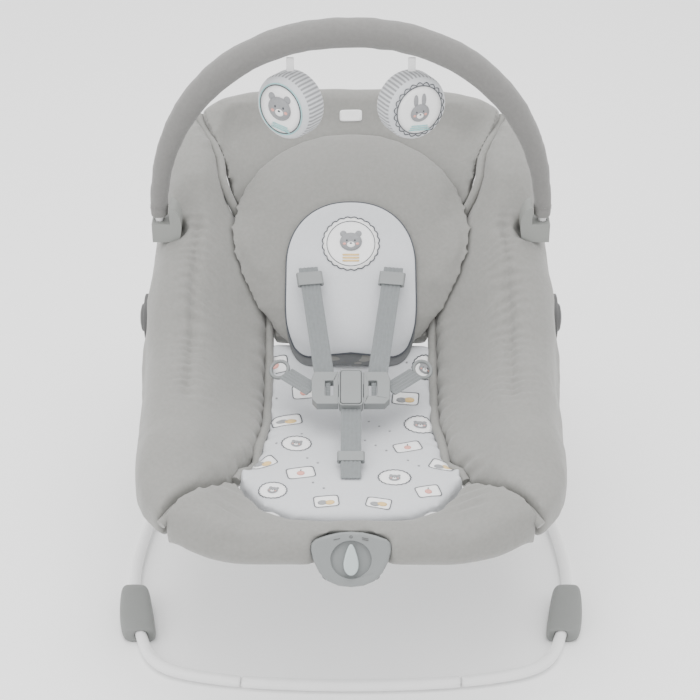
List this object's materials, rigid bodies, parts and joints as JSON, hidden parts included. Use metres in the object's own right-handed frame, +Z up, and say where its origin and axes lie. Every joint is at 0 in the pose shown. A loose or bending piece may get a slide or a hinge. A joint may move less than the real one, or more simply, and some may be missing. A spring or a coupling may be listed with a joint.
{
  "type": "baby bouncer seat",
  "caption": "Sprung tube baby bouncer with a padded bucket seat, body cushion, harness, removable toy arch and a vibration unit.",
  "frame": {"origin": "centre of the whole object's box, on the floor it stands on", "axes": "+Z up, -Y towards the foot end and its vibration unit, +X to the right seen from the foot end"},
  "size_m": [0.5042, 0.6754, 0.6011],
  "materials": {
    "white_tube": "smooth white powder coat",
    "grey_rubber": "satin moulded rubber",
    "grey_plastic": "satin moulded plastic",
    "dark_plastic": "satin dark grey plastic",
    "pale_plastic": "satin pale grey plastic",
    "knob_plastic": "pale blue-grey, slightly glossy",
    "steel": "plain steel",
    "cover_fabric": "soft grey jersey over padding",
    "sleeve_fabric": "darker grey jersey over foam",
    "print_fabric": "pale grey cotton with a small framed print",
    "webbing": "ribbed polyester webbing",
    "toy_plush": "soft plush with printed faces and a striped side",
    "white_plastic": "white moulded plastic",
    "circuit_board": "green solder mask",
    "battery_case": "dark wrapped cell"
  },
  "bodies": {
    "base": {"base_front_tube": "white_tube", "base_runner_left": "white_tube", "base_runner_right": "white_tube", "front_foot_left": "grey_rubber", "front_foot_right": "grey_rubber", "rear_foot_left": "grey_rubber", "rear_foot_right": "grey_rubber"},
    "risers": {"hub_cap_left": "dark_plastic", "hub_cap_right": "dark_plastic", "hub_outer_left": "dark_plastic", "hub_outer_right": "dark_plastic", "hub_pin_left": "steel", "hub_pin_right": "steel", "riser_tube_left": "white_tube", "riser_tube_right": "white_tube"},
    "hub_button_left": {"hub_button_left": "grey_plastic"},
    "hub_button_right": {"hub_button_right": "grey_plastic"},
    "arch": {"arch_sleeve": "sleeve_fabric", "arch_rod": "white_plastic"},
    "toy_stem_left": {"toy_stem_left": "white_plastic"},
    "toy_stem_right": {"toy_stem_right": "white_plastic"},
    "toy_left": {"toy_bear": "toy_plush"},
    "toy_right": {"toy_rabbit": "toy_plush"},
    "tongue_left": {"tongue_left": "grey_plastic"},
    "tongue_right": {"tongue_right": "grey_plastic"},
    "shoulder_slider_left": {"shoulder_slider_left": "grey_plastic"},
    "shoulder_slider_right": {"shoulder_slider_right": "grey_plastic"},
    "crotch_slider": {"crotch_slider": "grey_plastic"},
    "buckle_button": {"buckle_button": "grey_plastic"},
    "knob": {"control_knob": "knob_plastic"},
    "vibration_weight": {"eccentric_weight": "steel"},
    "battery_door": {"battery_door": "grey_plastic", "battery_door_screw": "steel"},
    "seat": {"arch_socket_left": "pale_plastic", "arch_socket_right": "pale_plastic", "back_frame_tube": "white_tube", "battery_lower": "battery_case", "battery_upper": "battery_case", "body_cushion": "cover_fabric", "buckle_body": "grey_plastic", "circuit_board": "circuit_board", "control_back_shell": "grey_plastic", "control_front_shell": "grey_plastic", "cover_back": "cover_fabric", "cover_front": "cover_fabric", "cover_side_left": "cover_fabric", "cover_side_right": "cover_fabric", "crotch_strap": "webbing", "head_panel": "print_fabric", "hub_inner_left": "grey_plastic", "hub_inner_right": "grey_plastic", "seat_frame_tube": "white_tube", "seat_pad": "print_fabric", "shoulder_strap_left": "webbing", "shoulder_strap_right": "webbing", "vibration_motor": "steel", "waist_ring_left": "grey_plastic", "waist_ring_right": "grey_plastic", "waist_strap_left": "webbing", "waist_strap_right": "webbing"}
  },
  "joints": [
    {"name": "bounce", "type": "hinge", "parent": "base", "child": "risers", "pos_m": [0, 0.26123, 0.012], "axis": [1, 0, 0], "range_deg": [-2, 4], "stiffness_Nm_per_rad": 200, "springref_deg": -1.64},
    {"name": "recline", "type": "hinge", "parent": "risers", "child": "seat", "pos_m": [0, 0.02923, 0.25], "axis": [1, 0, 0], "range_deg": [-10, 8]},
    {"name": "arch_lift", "type": "slide", "parent": "seat", "child": "arch", "axis": [0, -0.0872, 0.9962], "range_m": [0, 0.028]},
    {"name": "knob_turn", "type": "hinge", "parent": "seat", "child": "knob", "pos_m": [0, -0.32335, 0.17318], "axis": [0, -0.8192, 0.5736], "range_deg": [-50, 50]},
    {"name": "weight_spin", "type": "hinge", "parent": "seat", "child": "vibration_weight", "pos_m": [0, -0.29766, 0.16802], "axis": [1, 0, 0], "continuous": true},
    {"name": "battery_door_open", "type": "hinge", "parent": "seat", "child": "battery_door", "pos_m": [0, -0.29685, 0.1296], "axis": [-1, 0, 0], "range_deg": [0, 75]},
    {"name": "buckle_press", "type": "slide", "parent": "seat", "child": "buckle_button", "axis": [0, 0.3987, -0.9171], "range_m": [0, 0.0022], "stiffness_N_per_m": 400},
    {"name": "crotch_adjust", "type": "slide", "parent": "seat", "child": "crotch_slider", "axis": [0, 0.9355, 0.3533], "range_m": [-0.015, 0.035]},
    {"name": "hub_press_left", "type": "slide", "parent": "risers", "child": "hub_button_left", "axis": [1, 0, 0], "range_m": [0, 0.003], "stiffness_N_per_m": 500},
    {"name": "toy_swing_left", "type": "hinge", "parent": "arch", "child": "toy_stem_left", "pos_m": [-0.064, 0.03903, 0.5505], "axis": [1, 0, 0], "range_deg": [-25, 25]},
    {"name": "toy_spin_left", "type": "hinge", "parent": "toy_stem_left", "child": "toy_left", "pos_m": [-0.064, 0.03903, 0.504], "axis": [0, 0, 1], "range_deg": [-90, 90]},
    {"name": "tongue_pull_left", "type": "slide", "parent": "seat", "child": "tongue_left", "axis": [-1, 0, 0], "range_m": [0, 0.0105]},
    {"name": "shoulder_adjust_left", "type": "slide", "parent": "seat", "child": "shoulder_slider_left", "axis": [0.1426, -0.839, -0.5251], "range_m": [-0.006, 0.06]},
    {"name": "hub_press_right", "type": "slide", "parent": "risers", "child": "hub_button_right", "axis": [-1, 0, 0], "range_m": [0, 0.003], "stiffness_N_per_m": 500},
    {"name": "toy_swing_right", "type": "hinge", "parent": "arch", "child": "toy_stem_right", "pos_m": [0.064, 0.03903, 0.5505], "axis": [1, 0, 0], "range_deg": [-25, 25]},
    {"name": "toy_spin_right", "type": "hinge", "parent": "toy_stem_right", "child": "toy_right", "pos_m": [0.064, 0.03903, 0.504], "axis": [0, 0, 1], "range_deg": [-90, 90]},
    {"name": "tongue_pull_right", "type": "slide", "parent": "seat", "child": "tongue_right", "axis": [1, 0, 0], "range_m": [0, 0.0105]},
    {"name": "shoulder_adjust_right", "type": "slide", "parent": "seat", "child": "shoulder_slider_right", "axis": [-0.1426, -0.839, -0.5251], "range_m": [-0.006, 0.06]}
  ]
}
